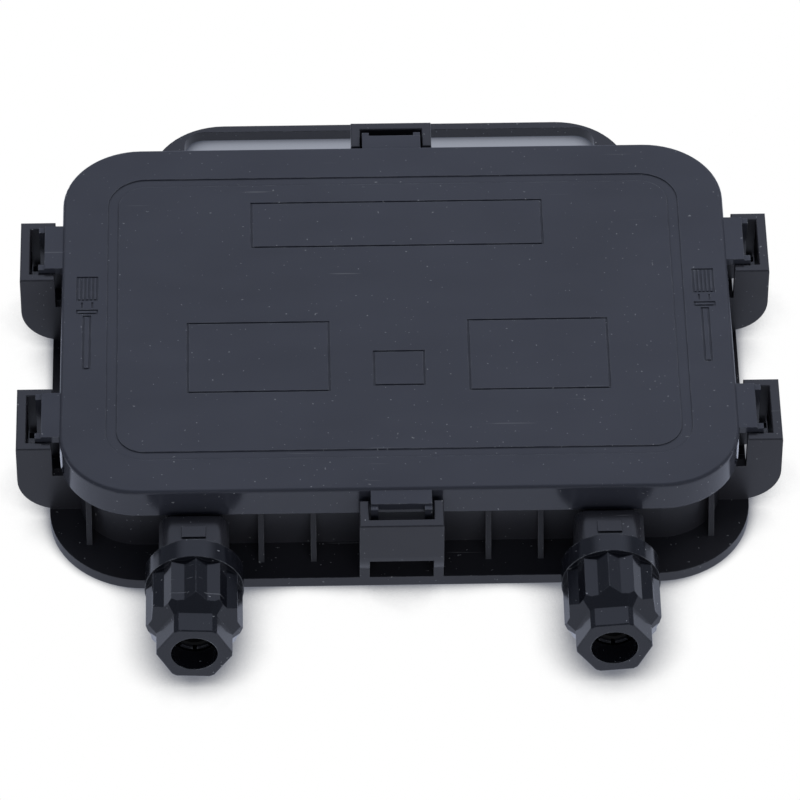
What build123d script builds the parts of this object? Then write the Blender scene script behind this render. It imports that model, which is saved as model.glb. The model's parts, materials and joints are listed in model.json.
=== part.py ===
from build123d import *
from math import atan2, cos, radians, sin, sqrt
import os

# A junction box for the back of a solar panel, in millimetres.
# Origin: on the mounting face, under the centre of the lid. X runs along the lid, the cables
# leave towards -Y, and Z points away from the panel.

# --- Driving dimensions: lid ---
lid_length = 130.0
lid_width = 92.5
lid_corner = 15.2
box_height = 20.5
lid_plate = 2.0
skirt_height = 6.5
skirt_wall = 1.8
lid_edge_round = 0.7
groove_margin_x = 8.9
groove_margin_y = 8.45
groove_corner = 7.5
groove_width = 2.05
groove_depth = 0.2
line_width = 0.35
line_depth = 0.2
outlined_fields = (
    (0.6, 24.7, 57.4, 12.5),
    (-26.8, -11.1, 27.6, 18.7),
    (27.3, -11.2, 27.2, 18.9),
    (0.3, -14.5, 10.0, 9.3),
)
sign_inset = 5.0
sign_handle = (4.2, 6.5)
sign_handle_place = 7.9
sign_handle_lines = 4
sign_neck = (2.0, 1.5)
sign_guard = (4.2, 1.2)
sign_guard_place = 1.6
sign_shaft = (1.6, 14.4)
sign_shaft_place = -6.6

# --- Driving dimensions: base moulding ---
base_floor = 2.3
wall_inset = 3.3
wall_thickness = 2.2
wall_draft = 3.5
flange_over_side = 2.3
flange_over_front = 6.0
flange_corner = 18.4
tongue_width = 96.4
tongue_reach = 25.0
tongue_corner = 14.6
window_margin = 6.7
window_bar = 1.7
window_depth = 12.5
window_corner = 4.0
ribbon_slot_length = 88.0
ribbon_slot_width = 9.0
gusset_width = 1.1
gusset_reach = 5.1
gusset_height = 10.2
gusset_offsets = (16.7, 26.7)
corner_gusset_inset = 2.1

# --- Driving dimensions: snap latches ---
latch_width = 16.0
latch_reach = 8.3
latch_wall = 1.9
latch_gap = 1.5
latch_drop = 1.45
latch_bar_bottom = 9.2
latch_arm_round = 8.0
latch_notch = 2.4
latch_edge_round = 0.3
rear_latch_inset = 26.55
front_latch_inset = 20.85
tab_reach = 3.5
tab_side_clearance = 0.3
tab_drop = 0.35
tab_thickness = 1.6
leg_width = 1.4
leg_reach = 4.7
leg_depth = 2.0
barb_clearance = 0.15
barb_gap = 0.2
barb_height = 1.6

# --- Driving dimensions: lid seal ---
gasket_thickness = 1.2
gasket_clearance = 0.3
rib_clearance = 0.3
rib_thickness = 1.0
rib_height = 2.3

# --- Driving dimensions: cable glands ---
gland_pitch = 78.8
gland_axis_height = 9.7
collar_gap = 1.9
collar_width = 13.3
collar_height = 12.0
collar_length = 8.6
collar_round = 2.6
collar_pad = (4.6, 2.8)
collar_pad_gap = 2.7
collar_pad_height = 0.3
neck_width = 11.0
neck_round = 2.0
neck_under_skirt = 0.4
cable_passage = 6.0
spigot_diameter = 13.0
spigot_length = 9.8
spigot_bore = 9.8
bore_depth = 10.5
thread_clearance = 0.1
moving_clearance = 0.3
nut_back_gap = 0.3
nut_ring_diameter = 18.8
nut_ring_length = 4.3
nut_ridge_diameter = 18.3
nut_valley_diameter = 16.7
nut_ridges = 12
nut_grip_length = 8.6
nut_taper_length = 3.1
nut_hex_flats = 12.9
nut_hex_corners = 14.3
nut_hex_length = 4.5
nut_mouth = 8.8
nut_thread_depth = 11.6
nut_edge_round = 0.3
nut_turns = {"left": -3.0, "right": 5.5}
claw_ring_length = 1.2
claw_bore = 7.6
claw_tip_gap = 0.5
claw_fingers = 8
claw_slot = 0.8
seal_hole = 6.0
seal_front_diameter = 7.4
seal_back_length = 7.0
seal_recess = 0.5

# --- Driving dimensions: terminals inside ---
rail_count = 4
rail_width = 21.4
rail_thickness = 0.8
rail_height = 5.5
rail_back = 24.0
rail_front = -14.0
rail_notch_width = 5.0
rail_notch_depth = 3.0
rail_corner = 1.2
cable_strip_width = 17.6
cable_strip_front = -31.0
support_width = 2.4
support_length = 14.0
support_back = 16.0
support_front = -9.0
strip_support = -28.5
post_diameter = 6.0
post_place = 3.0
pilot_diameter = 2.4
screw_shank = 2.2
screw_hole_clearance = 0.5
screw_head_diameter = 5.4
screw_head_height = 1.8
screw_length = 3.8
screw_slot_width = 0.8
screw_slot_depth = 0.8
diode_body_diameter = 7.4
diode_body_length = 9.4
diode_lead = 1.3
diode_lift = 0.5
diode_foot = 4.0
diode_bend = 1.2
diode_place = -7.0
solder_film = 0.05
clip_width = 8.0
clip_thickness = 0.5
clip_length = 7.5
clip_rise = 3.4
clip_place = 16.0
clamp_length = 5.5
clamp_thickness = 0.9
clamp_conductor = 3.2
clamp_width = 16.6
clamp_screw_pitch = 11.0
clamp_place = -24.0

# --- Sizes that follow from them ---
lid_bottom = box_height - skirt_height
lid_underside = box_height - lid_plate
rim_height = lid_underside - gasket_thickness
half_length = lid_length / 2
half_width = lid_width / 2
wall_length = lid_length - 2 * wall_inset
wall_width = lid_width - 2 * wall_inset
wall_corner = lid_corner - wall_inset
corner_gusset_x = half_length - wall_inset - corner_gusset_inset
sign_x = half_length - sign_inset
rear_side_latch = half_width - rear_latch_inset
front_side_latch = front_latch_inset - half_width
inner_inset = wall_inset + wall_thickness
flange_length = lid_length + 2 * flange_over_side
flange_width = lid_width + 2 * flange_over_front
tongue_back = half_width + tongue_reach
latch_top = box_height - latch_drop
latch_inner = latch_width - 2 * latch_wall
tab_width = latch_inner - 2 * tab_side_clearance
tab_top = box_height - tab_drop
gland_x = gland_pitch / 2
collar_back = -half_width - collar_gap
collar_front = collar_back - collar_length
spigot_end = collar_front - spigot_length
nut_back = collar_front - nut_back_gap
nut_ring_front = nut_back - nut_ring_length
nut_grip_front = nut_ring_front - nut_grip_length
nut_taper_front = nut_grip_front - nut_taper_length
nut_front = nut_taper_front - nut_hex_length
nut_thread_end = nut_back - nut_thread_depth
nut_thread_radius = spigot_diameter / 2 + thread_clearance
nut_mouth_radius = nut_mouth / 2
claw_back = spigot_end - moving_clearance
claw_ring_front = claw_back - claw_ring_length
claw_tip = nut_taper_front + claw_tip_gap
seal_back_diameter = spigot_bore - 2 * moving_clearance
rail_top = rail_height + rail_thickness
rail_pitch = gland_pitch / (rail_count - 1)
rail_places = [-gland_x + i * rail_pitch for i in range(rail_count)]

GLAND_SIDES = {"left": -1, "right": 1}
LATCH_PLACES = (
    (half_length, rear_side_latch, 0),
    (half_length, front_side_latch, 0),
    (-half_length, rear_side_latch, 180),
    (-half_length, front_side_latch, 180),
    (0, half_width, 90),
    (0, -half_width, -90),
)


os.makedirs("parts", exist_ok=True)


def latch_location(place):
    """The frame of one latch: its X axis points out of the lid's edge."""
    x, y, turn = place
    return Location((x, y, 0), (0, 0, turn))


def flange_overhang(place):
    """How far the flange reaches past the lid's edge under one latch."""
    turn = place[2]
    if turn == 90:
        return latch_reach
    return flange_over_front if turn == -90 else flange_over_side


def inset_rectangle(inset, mode=Mode.ADD):
    """The lid's rounded outline, moved inwards by an inset."""
    length = lid_length - 2 * inset
    width = lid_width - 2 * inset
    return RectangleRounded(length, width, lid_corner - inset, mode=mode)


def outline(width, height):
    """A rectangle drawn as a line of the engraving's width."""
    Rectangle(width, height)
    Rectangle(width - 2 * line_width, height - 2 * line_width, mode=Mode.SUBTRACT)


def across_wall(y):
    """The plane across Y at y, facing away from the box, with its X along the lid."""
    return Plane.XZ.offset(-y)


def save(builder, name):
    """Label a finished piece and write it to its own file."""
    builder.part.label = name
    export_step(builder.part, f"parts/{name}.step")


# --- Latch frame: the loop on the base that a lid tab snaps into ---
def latch_frame(overhang):
    """Two arms and an outer bar, drawn for a latch on the +X edge."""
    arm_foot = base_floor + latch_arm_round
    foot_x = min(overhang, latch_reach)
    centre_x = latch_reach - latch_arm_round
    rise = sqrt(max(latch_arm_round**2 - (foot_x - centre_x) ** 2, 0))
    foot_z = arm_foot - rise
    middle = atan2(-rise, foot_x - centre_x) / 2
    web_top = lid_bottom - latch_notch
    inner_x = -wall_inset - wall_thickness / 2
    with BuildPart() as frame:
        with BuildSketch(Plane.XZ.offset(-latch_width / 2)) as arm_profile:
            with BuildLine():
                Polyline(
                    (foot_x, foot_z),
                    (foot_x, base_floor / 2),
                    (inner_x, base_floor / 2),
                    (inner_x, web_top),
                    (latch_gap, web_top),
                    (latch_gap, latch_top),
                    (latch_reach, latch_top),
                    (latch_reach, arm_foot),
                )
                if rise > 0:
                    ThreePointArc(
                        (latch_reach, arm_foot),
                        (
                            centre_x + latch_arm_round * cos(middle),
                            arm_foot + latch_arm_round * sin(middle),
                        ),
                        (foot_x, foot_z),
                    )
            make_face()
        extrude(amount=latch_width)
        with BuildSketch(Plane.XY) as opening:
            with Locations(((inner_x + latch_reach - latch_wall) / 2, 0)):
                Rectangle(latch_reach - latch_wall - inner_x, latch_inner)
        extrude(amount=box_height, mode=Mode.SUBTRACT)
        with BuildSketch(Plane.XY) as under_bar:
            with Locations((latch_reach, 0)):
                Rectangle(2 * latch_wall, latch_inner)
        extrude(amount=latch_bar_bottom, mode=Mode.SUBTRACT)
        top_edges = frame.faces().sort_by(Axis.Z)[-1].outer_wire().edges()
        fillet(top_edges, radius=latch_edge_round)
    return frame.part


# --- Lid tab: a plate with two barbed legs, drawn for the +X edge ---
def lid_tab():
    """The plate above the latch frame, and the legs that reach down inside it."""
    leg_bottom = latch_bar_bottom - barb_gap - barb_height
    barb_tip = latch_reach - latch_wall - barb_clearance
    leg_y = (tab_width - leg_width) / 2
    with BuildPart() as tab:
        with BuildSketch(Plane.XY.offset(tab_top - tab_thickness)):
            with Locations(((tab_reach - skirt_wall / 2) / 2, 0)):
                Rectangle(tab_reach + skirt_wall / 2, tab_width)
        extrude(amount=tab_thickness)
        for side in (-1, 1):
            with BuildSketch(Plane.XZ.offset(side * leg_y - leg_width / 2)):
                with BuildLine():
                    Polyline(
                        (leg_reach - leg_depth, tab_top - line_width),
                        (leg_reach - leg_depth, leg_bottom),
                        (leg_reach, leg_bottom),
                        (barb_tip, leg_bottom + barb_height / 2),
                        (barb_tip, leg_bottom + barb_height),
                        (leg_reach, leg_bottom + barb_height),
                        (leg_reach, tab_top - line_width),
                        close=True,
                    )
                make_face()
            extrude(amount=leg_width)
    return tab.part


def screwdriver_sign():
    """A screwdriver in outline, beside the latches it opens."""
    with Locations((0, sign_handle_place)):
        outline(*sign_handle)
        spacing = (sign_handle[0] - line_width) / (sign_handle_lines + 1)
        with GridLocations(spacing, 1, sign_handle_lines, 1):
            Rectangle(line_width, sign_handle[1])
    neck_place = (sign_handle_place - sign_handle[1] / 2 + sign_guard_place + sign_guard[1] / 2) / 2
    with Locations((0, neck_place)):
        with GridLocations(sign_neck[0], 1, 2, 1):
            Rectangle(line_width, sign_neck[1])
    with Locations((0, sign_guard_place)):
        outline(*sign_guard)
    with Locations((0, sign_shaft_place)):
        outline(*sign_shaft)


# --- Lid ---
tab_shape = lid_tab()
panel_size = (lid_length - 2 * groove_margin_x, lid_width - 2 * groove_margin_y)
field_size = (panel_size[0] - 2 * groove_width, panel_size[1] - 2 * groove_width)

with BuildPart() as lid:
    with BuildSketch(Plane.XY.offset(lid_bottom)):
        inset_rectangle(0)
    extrude(amount=skirt_height)
    fillet(lid.faces().sort_by(Axis.Z)[-1].edges(), radius=lid_edge_round)
    with BuildSketch(Plane.XY.offset(lid_bottom)):
        inset_rectangle(skirt_wall)
    extrude(amount=skirt_height - lid_plate, mode=Mode.SUBTRACT)
    # the rib that keeps the gasket in its channel
    with BuildSketch(Plane.XY.offset(lid_underside - rib_height)):
        inset_rectangle(inner_inset + rib_clearance)
        inset_rectangle(inner_inset + rib_clearance + rib_thickness, mode=Mode.SUBTRACT)
    extrude(amount=rib_height)
    # the flat groove round the panel, and what is engraved on the lid
    with BuildSketch(Plane.XY.offset(box_height)):
        RectangleRounded(*panel_size, groove_corner)
        RectangleRounded(*field_size, groove_corner - groove_width, mode=Mode.SUBTRACT)
    extrude(amount=-groove_depth, mode=Mode.SUBTRACT)
    with BuildSketch(Plane.XY.offset(box_height)):
        for x, y, width, height in outlined_fields:
            with BuildSketch(mode=Mode.PRIVATE) as field:
                outline(width, height)
            with Locations((x, y)):
                add(field.sketch)
    extrude(amount=-line_depth, mode=Mode.SUBTRACT)
    with BuildSketch(mode=Mode.PRIVATE) as sign:
        screwdriver_sign()
    with BuildSketch(Plane.XY.offset(box_height)):
        with Locations((-sign_x, 0), (sign_x, 0)):
            add(sign.sketch)
    extrude(amount=-line_depth, mode=Mode.SUBTRACT)
    for place in LATCH_PLACES:
        with Locations(latch_location(place)):
            add(tab_shape)
save(lid, "lid")

# --- Lid gasket ---
with BuildPart() as lid_gasket:
    with BuildSketch(Plane.XY.offset(rim_height)):
        inset_rectangle(skirt_wall + gasket_clearance)
        inset_rectangle(inner_inset, mode=Mode.SUBTRACT)
    extrude(amount=gasket_thickness)
save(lid_gasket, "lid_gasket")

# --- Base: tray, flange, latch frames and cable spigots in one moulding ---
window_y = tongue_back - window_bar - window_depth / 2
inner_wall_y = half_width - inner_inset
ribbon_slot_y = (rail_back + inner_wall_y) / 2
corner_centre = (half_length - lid_corner, half_width - lid_corner)


def gusset(x, wall_y):
    """A triangular rib between the front wall and the flange."""
    with BuildPart() as rib:
        with BuildSketch(Plane.YZ.offset(x - gusset_width / 2)):
            with BuildLine():
                Polyline(
                    (wall_y + wall_thickness / 2, base_floor / 2),
                    (wall_y - gusset_reach, base_floor / 2),
                    (wall_y - gusset_reach, base_floor),
                    (wall_y, base_floor + gusset_height),
                    (wall_y + wall_thickness / 2, base_floor + gusset_height),
                    close=True,
                )
            make_face()
        extrude(amount=gusset_width)
    return rib.part


def gland_plane(x, y, turn=0):
    """The plane across one gland at y, facing out of its mouth and turned about the gland's axis."""
    x_dir = (cos(radians(turn)), 0, sin(radians(turn)))
    return Plane((x, y, gland_axis_height), x_dir=x_dir, z_dir=(0, -1, 0))


def spigot(x):
    """The neck through the wall, the square collar and the threaded spigot of one gland."""
    neck_height = lid_bottom - neck_under_skirt - base_floor
    neck_middle = base_floor + neck_height / 2 - gland_axis_height
    with BuildPart() as body:
        with BuildSketch(gland_plane(x, -inner_wall_y)) as neck:
            with Locations((0, neck_middle)):
                Rectangle(neck_width, neck_height)
            fillet(neck.vertices().group_by(Axis.Z)[-1], radius=neck_round)
        extrude(amount=-inner_wall_y - collar_back)
        with BuildSketch(gland_plane(x, collar_back)):
            RectangleRounded(collar_width, collar_height, collar_round)
        extrude(amount=collar_length)
        with BuildSketch(Plane.XY.offset(gland_axis_height)):
            with Locations((x, collar_back - collar_pad_gap - collar_pad[1] / 2)):
                Rectangle(*collar_pad)
        extrude(amount=collar_height / 2 + collar_pad_height)
        with BuildSketch(gland_plane(x, collar_front)):
            Circle(spigot_diameter / 2)
        extrude(amount=spigot_length)
    return body.part


def cable_bore(x):
    """The seal's bore in the spigot and the cable's passage into the box."""
    with BuildPart() as bore:
        with BuildSketch(gland_plane(x, spigot_end)):
            Circle(spigot_bore / 2)
        extrude(amount=-bore_depth)
        with BuildSketch(gland_plane(x, spigot_end)):
            Circle(cable_passage / 2)
        extrude(amount=spigot_end + inner_wall_y)
    return bore.part


latch_shapes = [(place, latch_frame(flange_overhang(place))) for place in LATCH_PLACES]
spigots = [spigot(side * gland_x) for side in GLAND_SIDES.values()]
cable_bores = [cable_bore(side * gland_x) for side in GLAND_SIDES.values()]
corner_drop = sqrt(wall_corner**2 - (corner_gusset_x - corner_centre[0]) ** 2)
gussets = []
for side in (-1, 1):
    for offset_x in gusset_offsets:
        gussets.append(gusset(side * offset_x, wall_inset - half_width))
    gussets.append(gusset(side * corner_gusset_x, -corner_centre[1] - corner_drop))

with BuildPart() as base:
    with BuildSketch():
        RectangleRounded(flange_length, flange_width, flange_corner)
        with Locations((0, tongue_back / 2)):
            RectangleRounded(tongue_width, tongue_back, tongue_corner)
        with Locations((0, window_y)):
            window_width = tongue_width - 2 * window_margin
            RectangleRounded(window_width, window_depth, window_corner, mode=Mode.SUBTRACT)
        with Locations((0, ribbon_slot_y)):
            Rectangle(ribbon_slot_length, ribbon_slot_width, mode=Mode.SUBTRACT)
    extrude(amount=base_floor)
    with BuildSketch(Plane.XY.offset(base_floor)):
        inset_rectangle(wall_inset)
    extrude(amount=rim_height - base_floor, taper=wall_draft)
    with BuildSketch(Plane.XY.offset(base_floor)):
        inset_rectangle(inner_inset)
    extrude(amount=rim_height - base_floor, mode=Mode.SUBTRACT)
    add(gussets)
    add(spigots)
    add(cable_bores, mode=Mode.SUBTRACT)
    for place, shape in latch_shapes:
        with Locations(latch_location(place)):
            add(shape)
    # supports and screw posts under the terminal rails
    with BuildSketch(Plane.XY.offset(base_floor)):
        for x in rail_places:
            with Locations((x, support_back), (x, support_front)):
                Rectangle(support_length, support_width)
            with Locations((x, post_place)):
                Circle(post_diameter / 2)
        for side in GLAND_SIDES.values():
            with Locations((side * gland_x, strip_support)):
                Rectangle(support_length, support_width)
            with Locations((side * gland_x, clamp_place)):
                with GridLocations(clamp_screw_pitch, 1, 2, 1):
                    Circle(post_diameter / 2)
    extrude(amount=rail_height - base_floor)
    with BuildSketch(Plane.XY.offset(base_floor)):
        with Locations(*[(x, post_place) for x in rail_places]):
            Circle(pilot_diameter / 2)
        with Locations(*[(side * gland_x, clamp_place) for side in GLAND_SIDES.values()]):
            with GridLocations(clamp_screw_pitch, 1, 2, 1):
                Circle(pilot_diameter / 2)
    extrude(amount=rail_height - base_floor, mode=Mode.SUBTRACT)
save(base, "base")

# --- Terminal rails, one for each ribbon of the panel ---
rail_length = rail_back - rail_front
rail_y = (rail_back + rail_front) / 2


def rail(x, has_cable):
    """One flat copper rail, with a strip for the cable clamp on the outer ones."""
    with BuildPart() as strip:
        with BuildSketch(Plane.XY.offset(rail_height)):
            with Locations((x, rail_y)):
                RectangleRounded(rail_width, rail_length, rail_corner)
                with GridLocations(rail_width, 1, 2, 1):
                    Rectangle(2 * rail_notch_depth, rail_notch_width, mode=Mode.SUBTRACT)
            if has_cable:
                strip_middle = (cable_strip_front + rail_front) / 2 + rail_corner
                with Locations((x, strip_middle)):
                    Rectangle(cable_strip_width, rail_front - cable_strip_front + 2 * rail_corner)
            with Locations((x, post_place)):
                Circle((screw_shank + screw_hole_clearance) / 2, mode=Mode.SUBTRACT)
            if has_cable:
                with Locations((x, clamp_place)):
                    with GridLocations(clamp_screw_pitch, 1, 2, 1):
                        Circle((screw_shank + screw_hole_clearance) / 2, mode=Mode.SUBTRACT)
        extrude(amount=rail_thickness)
    return strip


for index, x in enumerate(rail_places):
    save(rail(x, index in (0, rail_count - 1)), f"terminal_rail_{index + 1}")


# --- Screws: a slotted pan head on a plain shank, drawn with the head resting on z = 0 ---
with BuildPart() as screw:
    Cylinder(
        screw_head_diameter / 2,
        screw_head_height,
        align=(Align.CENTER, Align.CENTER, Align.MIN),
    )
    fillet(screw.faces().sort_by(Axis.Z)[-1].edges(), radius=screw_head_height / 3)
    with BuildSketch(Plane.XY.offset(screw_head_height)):
        Rectangle(screw_head_diameter, screw_slot_width)
    extrude(amount=-screw_slot_depth, mode=Mode.SUBTRACT)
    with BuildSketch():
        Circle(screw_shank / 2)
    extrude(amount=-screw_length)

with BuildPart() as rail_screws:
    with Locations(*[(x, post_place, rail_top) for x in rail_places]):
        add(screw.part)
save(rail_screws, "rail_screws")

with BuildPart() as clamp_screws:
    for side in GLAND_SIDES.values():
        with Locations((side * gland_x, clamp_place, rail_top + clamp_thickness)):
            with GridLocations(clamp_screw_pitch, 1, 2, 1):
                add(screw.part)
save(clamp_screws, "clamp_screws")

# --- Cable clamps: a saddle over the stripped conductor ---
for name, side in GLAND_SIDES.items():
    x = side * gland_x
    with BuildPart() as clamp:
        with BuildSketch(across_wall(clamp_place + clamp_length / 2)):
            with Locations((x, rail_top + clamp_thickness / 2)):
                Rectangle(clamp_width, clamp_thickness)
            with Locations((x, rail_top)):
                Circle(clamp_conductor / 2 + clamp_thickness)
                Circle(clamp_conductor / 2, mode=Mode.SUBTRACT)
                Rectangle(
                    clamp_width,
                    clamp_conductor + 2 * clamp_thickness,
                    align=(Align.CENTER, Align.MAX),
                    mode=Mode.SUBTRACT,
                )
        extrude(amount=clamp_length)
        with BuildSketch(Plane.XY.offset(rail_top)):
            with Locations((x, clamp_place)):
                with GridLocations(clamp_screw_pitch, 1, 2, 1):
                    Circle((screw_shank + screw_hole_clearance) / 2)
        extrude(amount=clamp_thickness, mode=Mode.SUBTRACT)
    save(clamp, f"cable_clamp_{name}")

# --- Bypass diodes: one between each pair of rails ---
diode_axis = rail_top + diode_lift + diode_body_diameter / 2
foot_axis = rail_top + solder_film + diode_lead / 2
bend_x = diode_body_length / 2 + diode_bend + diode_lead / 2

for index in range(rail_count - 1):
    middle_x = (rail_places[index] + rail_places[index + 1]) / 2
    with BuildPart() as diode:
        with BuildSketch(Plane.YZ.offset(middle_x - diode_body_length / 2)):
            with Locations((diode_place, diode_axis)):
                Circle(diode_body_diameter / 2)
        extrude(amount=diode_body_length)
        for side in (-1, 1):
            with BuildLine() as lead_path:
                FilletPolyline(
                    (middle_x + side * diode_body_length / 4, diode_place, diode_axis),
                    (middle_x + side * bend_x, diode_place, diode_axis),
                    (middle_x + side * bend_x, diode_place, foot_axis),
                    (middle_x + side * (bend_x + diode_foot), diode_place, foot_axis),
                    radius=diode_bend,
                )
            with BuildSketch(Plane(lead_path.line @ 0, z_dir=lead_path.line % 0)):
                Circle(diode_lead / 2)
            sweep(path=lead_path.line)
    save(diode, f"bypass_diode_{index + 1}")

# --- Ribbon clips: a folded spring leaf on the back of each rail ---
leaf = clip_thickness / 2
for index, x in enumerate(rail_places):
    clip_back = clip_place + clip_length
    with BuildPart() as clip:
        with BuildSketch(Plane.YZ.offset(x - clip_width / 2)):
            with BuildLine():
                FilletPolyline(
                    (clip_back, rail_top + leaf),
                    (clip_place, rail_top + leaf),
                    (clip_place, rail_top + clip_rise),
                    (clip_back - clip_rise / 2, rail_top + 2 * leaf + clip_thickness),
                    (clip_back, rail_top + clip_rise / 2),
                    radius=3 * leaf,
                )
            trace(line_width=clip_thickness)
        extrude(amount=clip_width)
    save(clip, f"ribbon_clip_{index + 1}")


# --- Cable glands: nut, clamping claw and rubber seal on each spigot ---
def turned(x, *points):
    """A profile of (radius, y) points, revolved about the axis of the gland at x."""
    with BuildPart() as body:
        with BuildSketch(Plane.XY.offset(gland_axis_height)):
            with BuildLine():
                Polyline(*[(x + radius, y) for radius, y in points], close=True)
            make_face()
        revolve(axis=Axis((x, 0, gland_axis_height), (0, 1, 0)))
    return body


def grip_points():
    """The ridges and valleys round the grip, with a ridge at the top."""
    points = []
    for i in range(2 * nut_ridges):
        radius = (nut_valley_diameter if i % 2 else nut_ridge_diameter) / 2
        angle = radians(90) + i * radians(180 / nut_ridges)
        points.append((radius * cos(angle), radius * sin(angle)))
    return points


def gland_nut(x, turn):
    """Ring, fluted grip and hexagonal end, with the thread's bore and the clamping cone."""
    slope = (nut_ridge_diameter - nut_hex_flats) / 2 / nut_taper_length
    grip_and_taper = nut_grip_length + nut_taper_length
    hollow = turned(
        x,
        (0, nut_back),
        (nut_thread_radius, nut_back),
        (nut_thread_radius, nut_thread_end),
        (nut_mouth_radius, nut_taper_front),
        (nut_mouth_radius, nut_front),
        (0, nut_front),
    )
    with BuildPart() as nut:
        with BuildSketch(gland_plane(x, nut_ring_front, turn)):
            with BuildLine():
                Polyline(*grip_points(), close=True)
            make_face()
        extrude(amount=grip_and_taper)
        for across, corner in ((nut_hex_flats, 0), (nut_hex_corners, 30)):
            with BuildSketch(gland_plane(x, nut_ring_front, turn)):
                widest = across / 2 + slope * grip_and_taper
                RegularPolygon(widest, 6, major_radius=False, rotation=corner)
            with BuildSketch(gland_plane(x, nut_taper_front, turn)):
                RegularPolygon(across / 2, 6, major_radius=False, rotation=corner)
            loft(mode=Mode.INTERSECT)
        with BuildSketch(gland_plane(x, nut_taper_front, turn)):
            RegularPolygon(nut_hex_flats / 2, 6, major_radius=False)
            RegularPolygon(
                nut_hex_corners / 2, 6, major_radius=False, rotation=30, mode=Mode.INTERSECT
            )
        extrude(amount=nut_hex_length)
        fillet(nut.faces().sort_by(Axis.Y)[0].edges(), radius=nut_edge_round)
        with BuildSketch(gland_plane(x, nut_back)):
            Circle(nut_ring_diameter / 2)
        extrude(amount=nut_ring_length)
        add(hollow.part, mode=Mode.SUBTRACT)
    return nut


def gland_claw(x):
    """A ring with fingers that the nut's cone presses onto the seal."""
    cone = (nut_thread_radius - nut_mouth_radius) / (nut_thread_end - nut_taper_front)
    outer = nut_thread_radius - moving_clearance
    tip = nut_mouth_radius + cone * claw_tip_gap - moving_clearance
    ring = turned(
        x,
        (claw_bore / 2, claw_back),
        (outer, claw_back),
        (outer, nut_thread_end),
        (tip, claw_tip),
        (claw_bore / 2, claw_tip),
    )
    with BuildPart() as claw:
        add(ring.part)
        with BuildSketch(gland_plane(x, claw_ring_front)):
            for i in range(claw_fingers // 2):
                Rectangle(spigot_diameter * 2, claw_slot, rotation=i * 360 / claw_fingers)
        extrude(amount=claw_ring_front - claw_tip, mode=Mode.SUBTRACT)
    return claw


def gland_seal(x):
    """A stepped rubber sleeve that grips the cable."""
    back = claw_back + seal_back_length
    front = claw_tip + seal_recess
    return turned(
        x,
        (seal_hole / 2, back),
        (seal_back_diameter / 2, back),
        (seal_back_diameter / 2, claw_back),
        (seal_front_diameter / 2, claw_back),
        (seal_front_diameter / 2, front),
        (seal_hole / 2, front),
    )


for name, side in GLAND_SIDES.items():
    save(gland_nut(side * gland_x, nut_turns[name]), f"gland_nut_{name}")
    save(gland_claw(side * gland_x), f"gland_claw_{name}")
    save(gland_seal(side * gland_x), f"gland_seal_{name}")
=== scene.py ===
"""The looks of the solar junction box: finishes, fine details, studio and camera."""

import json
import math

import bmesh
import bpy
from mathutils import Matrix, Vector

MM = 0.001
WHITE = (1, 1, 1, 1)

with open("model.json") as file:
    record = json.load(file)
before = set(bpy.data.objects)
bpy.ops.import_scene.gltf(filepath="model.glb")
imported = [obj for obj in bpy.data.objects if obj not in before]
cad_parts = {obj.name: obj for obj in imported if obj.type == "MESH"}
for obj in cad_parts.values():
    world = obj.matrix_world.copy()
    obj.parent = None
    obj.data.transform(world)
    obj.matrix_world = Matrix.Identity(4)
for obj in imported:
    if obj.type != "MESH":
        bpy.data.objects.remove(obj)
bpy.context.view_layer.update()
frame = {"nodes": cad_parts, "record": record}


class Nodes:
    """Short calls for a node tree. Each input is a value or the output of another node."""

    def __init__(self, tree):
        self.tree = tree

    def put(self, value, socket):
        if isinstance(value, bpy.types.NodeSocket):
            self.tree.links.new(value, socket)
        else:
            socket.default_value = value

    def node(self, kind, inputs=None, **settings):
        """A node with its settings, and its inputs by their names or numbers."""
        made = self.tree.nodes.new(kind)
        for name, value in settings.items():
            setattr(made, name, value)
        for name, value in (inputs or {}).items():
            self.put(value, made.inputs[name])
        return made

    def levels(self, source, low, high, out_low=0.0, out_high=1.0, **settings):
        """The range from low to high of a value, spread over another range."""
        spread = {"Value": source, "From Min": low, "From Max": high}
        spread.update({"To Min": out_low, "To Max": out_high})
        return self.node("ShaderNodeMapRange", spread, **settings).outputs["Result"]

    def math(self, operation, *values):
        inputs = dict(enumerate(values))
        return self.node("ShaderNodeMath", inputs, operation=operation).outputs["Value"]

    def blend(self, factor, first, second, **settings):
        """A colour between two. This node's colour inputs share names, so they go by number."""
        inputs = {"Factor": factor, 6: first, 7: second}
        return self.node("ShaderNodeMix", inputs, data_type="RGBA", **settings).outputs[2]

    def glow(self, colour):
        return self.node("ShaderNodeEmission", {"Color": colour}).outputs["Emission"]

    def either(self, factor, first, second):
        """The second shader where the factor is one, and the first elsewhere."""
        return self.node("ShaderNodeMixShader", {0: factor, 1: first, 2: second}).outputs["Shader"]


# --- Materials -------------------------------------------------------------

# Waves per metre of the noises in the finishes.
CLOUDS = 35
SMEARS = 60
BLOOM = 120
SCORES = 260
RUBBED_AND_HIGHLIT_PATCHES = 420
ROLLED_GRAIN = 900
SPECKS = 1500
RUBBER_GRAIN = 2500

# How wide the worn and painted-highlight line on an edge is, and the radius that edges look rounded to.
WORN_AND_HIGHLIGHT_WIDTH = 0.3 * MM
PLASTIC_ROUNDING = 0.18 * MM
METAL_ROUNDING = 0.1 * MM
RUBBER_ROUNDING = 0.15 * MM

# The relief of each kind: how strongly it shows, and its height where a kind has only one.
PLASTIC_RELIEF = 0.35
METAL_RELIEF = 0.2
RUBBER_RELIEF = 0.3
ROLLED_HEIGHT = 0.03 * MM
RUBBER_HEIGHT = 0.04 * MM

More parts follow.
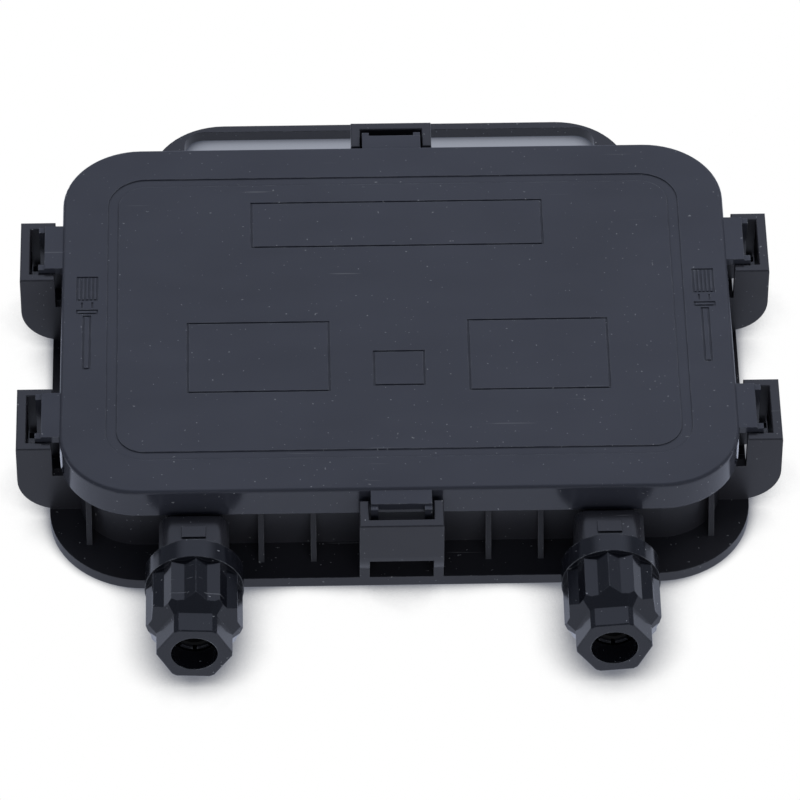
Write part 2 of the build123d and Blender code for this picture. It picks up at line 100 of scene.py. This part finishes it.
# Soft patches: the noise levels where they start and are full, and their colour by the plain one.
CLOUD_LEVELS = (0.35, 0.65)
CLOUD_TONE = 1.12
BLOOM_LEVELS = (0.35, 0.7)
BLOOM_TONE = 1.5
GRAIN_LEVELS = (0.3, 0.7)
DULL_TONE = 0.86

# What the occlusion inside an edge falls from and to, and the slopes that count as upright and level.
EDGE_LEVELS = (0.78, 0.52)
SLOPE_LEVELS = (0.35, 0.85)

# Sparse marks: the noise levels where they start and are full, and how much they cover there.
SPECK_LEVELS = (0.755, 0.79)
SPECK_COVER = 0.75
SCORE_LEVELS = (0.735, 0.76)
SCORE_COVER = 0.30

# Where the worn, highlit patches start and are full, and the share of the worn edge and painted
# highlight that is outside them.
RUBBED_AND_HIGHLIT_LEVELS = (0.42, 0.62)
LEAST_WEAR_AND_HIGHLIGHT = 0.1

# What marks add to the roughness, and the factors that smears and the rolled grain put on it.
MARK_ROUGHNESS = 0.3
SMEAR_ROUGHNESS = (0.9, 1.12)
ROLLED_ROUGHNESS = (0.8, 1.3)


def tone(colour, factor):
    """A colour made lighter or darker by a factor."""
    return tuple(channel * factor for channel in colour[:3]) + (1.0,)


def grey(value, blue=1.0):
    """A neutral colour of that linear value, with its blue raised by a factor and its green by less."""
    return (value, value * (1 + (blue - 1) * 0.4), value * blue, 1.0)


# Pale colour for worn edges, which also serves as a painted highlight along them.
WORN_AND_HIGHLIGHT_COLOUR = grey(0.15, 1.15)
MARK_COLOUR = grey(0.20, 1.1)


class Material(Nodes):
    """A material with a Principled shader, whose inputs are given by name."""

    def __init__(self, name, **sockets):
        self.material = bpy.data.materials.new(name)
        self.material.use_nodes = True
        super().__init__(self.material.node_tree)
        self.shader = self.tree.nodes["Principled BSDF"]
        self.shade(**sockets)

    def shade(self, **sockets):
        for name, value in sockets.items():
            self.put(value, self.shader.inputs[name.replace("_", " ")])

    def noise(self, scale, detail=2.0, roughness=0.5, stretch=(1, 1, 1)):
        """Fractal noise with scale in waves per metre."""
        place = self.node("ShaderNodeTexCoord").outputs["Object"]
        spread = self.node("ShaderNodeMapping", {"Vector": place, "Scale": stretch})
        fractal = {"Scale": scale, "Detail": detail, "Roughness": roughness}
        fractal["Vector"] = spread.outputs["Vector"]
        return self.node("ShaderNodeTexNoise", fractal).outputs["Fac"]

    def facing_up(self, upright, level):
        """One value on upright faces and another on level ones."""
        normal = self.node("ShaderNodeNewGeometry").outputs["Normal"]
        split = self.node("ShaderNodeSeparateXYZ", {"Vector": normal})
        slope = self.math("ABSOLUTE", split.outputs["Z"])
        return self.levels(slope, *SLOPE_LEVELS, upright, level)

    def edges(self, width):
        """One on a sharp outer edge and nought from that width inwards."""
        kind = "ShaderNodeAmbientOcclusion"
        around = self.node(kind, {"Distance": width}, samples=4, inside=True, only_local=True)
        return self.levels(around.outputs["AO"], *EDGE_LEVELS)

    def bump(self, height, strength, distance, rounding):
        """Relief from a height, over edges that look rounded to a radius."""
        rounded = self.node("ShaderNodeBevel", {"Radius": rounding}, samples=4)
        relief = {"Strength": strength, "Distance": distance, "Height": height}
        relief["Normal"] = rounded.outputs["Normal"]
        self.shade(Normal=self.node("ShaderNodeBump", relief).outputs["Normal"])


def plastic(name, colour, roughness, side_roughness, grain, grain_height, wear_and_highlight):
    """Moulded black plastic: fine grain, faint clouds, dust specks, scratches, and pale edge lines that
    are partly worn plastic and partly a painted highlight.
    """
    made = Material(name, Roughness=roughness, IOR=1.5)
    clouds = made.levels(made.noise(CLOUDS, 3), *CLOUD_LEVELS)
    body = made.blend(clouds, colour, tone(colour, CLOUD_TONE))
    patches = made.noise(RUBBED_AND_HIGHLIT_PATCHES, 3)
    patchy = made.levels(patches, *RUBBED_AND_HIGHLIT_LEVELS, LEAST_WEAR_AND_HIGHLIGHT * wear_and_highlight, wear_and_highlight)
    # Pale edge lines: partly worn plastic, partly a painted highlight where a lit edge would shine.
    edge_wear_and_highlight = made.math("MULTIPLY", made.edges(WORN_AND_HIGHLIGHT_WIDTH), patchy)
    worn_and_highlit = made.blend(edge_wear_and_highlight, body, WORN_AND_HIGHLIGHT_COLOUR)
    specks = made.levels(made.noise(SPECKS, 1, 0.4), *SPECK_LEVELS, 0, SPECK_COVER)
    streaks = made.noise(SCORES, stretch=(0.12, 4.5, 1))
    marks = made.math("MAXIMUM", specks, made.levels(streaks, *SCORE_LEVELS, 0, SCORE_COVER))
    streaky = made.noise(SMEARS, 4, stretch=(1, 2.5, 1))
    smear = made.levels(streaky, *GRAIN_LEVELS, *SMEAR_ROUGHNESS)
    finish = made.math("MULTIPLY", smear, made.facing_up(side_roughness, roughness))
    marked_finish = made.math("ADD", finish, made.math("MULTIPLY", marks, MARK_ROUGHNESS))
    made.shade(Base_Color=made.blend(marks, worn_and_highlit, MARK_COLOUR), Roughness=marked_finish)
    made.bump(made.noise(grain), PLASTIC_RELIEF, grain_height, PLASTIC_ROUNDING)
    return made.material


def metal(name, colour, roughness):
    """Plated or bright metal with a fine rolled grain."""
    made = Material(name, Metallic=1.0, Roughness=roughness)
    grain = made.noise(ROLLED_GRAIN, 3, stretch=(1, 8, 1))
    dulled = made.blend(made.levels(grain, *GRAIN_LEVELS), colour, tone(colour, DULL_TONE))
    least, most = ROLLED_ROUGHNESS
    finish = made.levels(grain, *GRAIN_LEVELS, roughness * least, roughness * most)
    made.shade(Base_Color=dulled, Roughness=finish)
    made.bump(grain, METAL_RELIEF, ROLLED_HEIGHT, METAL_ROUNDING)
    return made.material


def rubber(name, value):
    """Matt rubber with a soft bloom."""
    made = Material(name, Roughness=0.75, IOR=1.45)
    bloom = made.levels(made.noise(BLOOM, 4), *BLOOM_LEVELS)
    made.shade(Base_Color=made.blend(bloom, grey(value), grey(value * BLOOM_TONE)))
    made.bump(made.noise(RUBBER_GRAIN), RUBBER_RELIEF, RUBBER_HEIGHT, RUBBER_ROUNDING)
    return made.material


# Plastic: colour, roughness of level and of upright faces, grain per metre and its height, strength of
# the worn edges and painted edge highlight.
PLASTICS = {
    "lid_plastic": ((0.0262, 0.0282, 0.0375, 1), 0.42, 0.13, 5200, 0.02 * MM, 0.5),
    "base_plastic": ((0.0185, 0.0187, 0.0225, 1), 0.20, 0.42, 3000, 0.012 * MM, 0.4),
    "nut_plastic": ((0.0060, 0.0066, 0.0095, 1), 0.14, 0.14, 2500, 0.01 * MM, 0.9),
    "claw_plastic": ((0.014, 0.015, 0.019, 1), 0.20, 0.20, 2500, 0.01 * MM, 1.0),
    "diode_body": ((0.010, 0.010, 0.011, 1), 0.45, 0.45, 5200, 0.03 * MM, 0.3),
}

# Rubber: its grey. Metal: colour and roughness.
RUBBERS = {"gasket_rubber": 0.10, "seal_rubber": 0.008}
METALS = {
    "screw_steel": ((0.55, 0.55, 0.56, 1), 0.3),
    "rail_copper": ((0.66, 0.65, 0.62, 1), 0.28),
    "spring_steel": ((0.62, 0.62, 0.64, 1), 0.2),
    "clamp_brass": ((0.62, 0.59, 0.50, 1), 0.3),
}


def dress():
    """Each CAD node gets the material of its slot in the record."""
    materials = {name: plastic(name, *look) for name, look in PLASTICS.items()}
    materials.update({name: rubber(name, value) for name, value in RUBBERS.items()})
    materials.update({name: metal(name, *look) for name, look in METALS.items()})
    for part in frame["record"]["subparts"]:
        node = frame["nodes"][part["node"]]
        node.data.materials.clear()
        node.data.materials.append(materials[part["material_slot"]])


# --- Studio ----------------------------------------------------------------

FLOOR_COLOUR = (0.8, 0.8, 0.8, 1)
FLOOR_HALF = 3.0
FLOOR_DROP = 0.05 * MM
MIRRORED_FLOOR = (0.60, 0.65, 0.80, 1)

SHADE_REACH = 14 * MM
SHADE_LEVELS = (0.40, 0.80)
SHADE_COLOUR = (0.17, 0.18, 0.21, 1)
SLOT_SHADE = (0.30, 0.32, 0.375, 1)
SLOT_MARGIN = 2 * MM

SKY_COLOUR = (0.15, 0.17, 0.22, 1)
PATCH_COLOUR = (0.60, 0.66, 0.84, 1)
PATCH_DIRECTION = (0.05, 0.72, 0.69)
PATCH_LEVELS = (0.80, 0.97)


def slot_shade_mask(made):
    """One on the floor that shows through the tongue's window, where the box closes it in and a painted
    shade darkens it.
    """
    openings = frame["record"]["physics"]["openings"]
    window = next(opening for opening in openings if opening["name"] == "tongue_window")
    geometry = made.node("ShaderNodeNewGeometry")
    split = made.node("ShaderNodeSeparateXYZ", {"Vector": geometry.outputs["Position"]})
    inside = made.math("SUBTRACT", 1.0, geometry.outputs["Backfacing"])
    for axis, low, high in zip("XY", *window["box_m"]):
        middle, reach = (low + high) / 2, (high - low) / 2 + SLOT_MARGIN
        within = made.math("COMPARE", split.outputs[axis], middle, reach)
        inside = made.math("MULTIPLY", inside, within)
    return inside


def floor_material():
    """White to the camera, with a painted shade that is softly darker close under the box. The plastic
    mirrors it pale blue.
    """
    made = Material("floor_white", Base_Color=FLOOR_COLOUR, Roughness=0.9)
    kind = "ShaderNodeAmbientOcclusion"
    # Painted shadow: the floor's colour to the camera darkens where the box occludes it.
    nearness = made.node(kind, {"Distance": SHADE_REACH}, samples=16).outputs["AO"]
    shaded = made.blend(made.levels(nearness, *SHADE_LEVELS), SHADE_COLOUR, WHITE)
    # Painted shade on the floor inside the tongue's window.
    seen = made.blend(slot_shade_mask(made), shaded, SLOT_SHADE, blend_type="MULTIPLY")
    path = made.node("ShaderNodeLightPath").outputs
    bounced = made.math("MAXIMUM", path["Is Glossy Ray"], path["Is Transmission Ray"])
    unseen = made.either(bounced, made.shader.outputs["BSDF"], made.glow(MIRRORED_FLOOR))
    surface = made.either(path["Is Camera Ray"], unseen, made.glow(seen))
    made.put(surface, made.tree.nodes["Material Output"].inputs["Surface"])
    return made.material


def backdrop():
    """A wide floor just under the box."""
    mesh = bpy.data.meshes.new("floor")
    floor = bpy.data.objects.new("floor", mesh)
    bpy.context.scene.collection.objects.link(floor)
    shape = bmesh.new()
    bmesh.ops.create_grid(shape, x_segments=1, y_segments=1, size=FLOOR_HALF)
    shape.to_mesh(mesh)
    shape.free()
    floor.location.z = -FLOOR_DROP
    mesh.materials.append(floor_material())


def lamp(name, place, size, energy):
    """A rectangular soft light, in watts, that is aimed at the box and isn't mirrored in it."""
    data = bpy.data.lights.new(name, "AREA")
    data.shape = "RECTANGLE"
    data.size, data.size_y = size
    data.energy = energy
    made = bpy.data.objects.new(name, data)
    made.visible_glossy = False
    made.location = place
    made.rotation_mode = "QUATERNION"
    made.rotation_quaternion = (-Vector(place)).to_track_quat("-Z", "Y")
    bpy.context.scene.collection.objects.link(made)


def surroundings():
    """A dim world with one wide bright patch above and behind the box, white to the camera."""
    world = bpy.data.worlds.new("studio")
    bpy.context.scene.world = world
    world.use_nodes = True
    made = Nodes(world.node_tree)
    view = made.node("ShaderNodeTexCoord").outputs["Generated"]
    pair = {0: view, 1: Vector(PATCH_DIRECTION).normalized()}
    towards = made.node("ShaderNodeVectorMath", pair, operation="DOT_PRODUCT").outputs["Value"]
    patch = made.levels(towards, *PATCH_LEVELS, interpolation_type="SMOOTHSTEP")
    sky = made.blend(patch, SKY_COLOUR, PATCH_COLOUR)
    seen = made.node("ShaderNodeLightPath").outputs["Is Camera Ray"]
    made.put(made.blend(seen, sky, WHITE), made.tree.nodes["Background"].inputs["Color"])


def studio():
    """The floor, three soft lights and what the glossy plastic mirrors."""
    backdrop()
    lamp("left_panel", place=(-0.88, 0.99, 0.90), size=(0.8, 0.8), energy=10)
    lamp("right_panel", place=(0.52, 0.42, 0.56), size=(0.5, 0.5), energy=4.4)
    lamp("front_fill", place=(0.15, -1.25, 0.42), size=(1.4, 0.5), energy=7)
    surroundings()


# --- Camera ----------------------------------------------------------------

CAMERA_TARGET = Vector((0.49, -13.15, 10.0)) * MM
CAMERA_DISTANCE = 1319.5 * MM
CAMERA_PITCH = math.radians(46.634)
CAMERA_YAW = math.radians(-1.325)
CAMERA_ROLL = math.radians(0.165)
CAMERA_LENS = 306.23
CAMERA_SENSOR = 36.0
CAMERA_CLIP = (0.05, 20)


def camera():
    """A long lens that looks down on the box from in front of the glands."""
    back = Vector((
        math.sin(CAMERA_YAW) * math.cos(CAMERA_PITCH),
        -math.cos(CAMERA_YAW) * math.cos(CAMERA_PITCH),
        math.sin(CAMERA_PITCH),
    ))
    right = (-back).cross(Vector((0, 0, 1))).normalized()
    up = right.cross(-back)
    cos, sin = math.cos(CAMERA_ROLL), math.sin(CAMERA_ROLL)
    axes = Matrix((cos * right + sin * up, cos * up - sin * right, back)).transposed()
    data = bpy.data.cameras.new("camera")
    data.lens = CAMERA_LENS
    data.sensor_width = CAMERA_SENSOR
    data.clip_start, data.clip_end = CAMERA_CLIP
    made = bpy.data.objects.new("camera", data)
    made.matrix_world = Matrix.Translation(CAMERA_TARGET + back * CAMERA_DISTANCE) @ axes.to_4x4()
    bpy.context.scene.collection.objects.link(made)
    bpy.context.scene.camera = made


dress()
studio()
camera()
bpy.context.scene.view_settings.view_transform = "Standard"
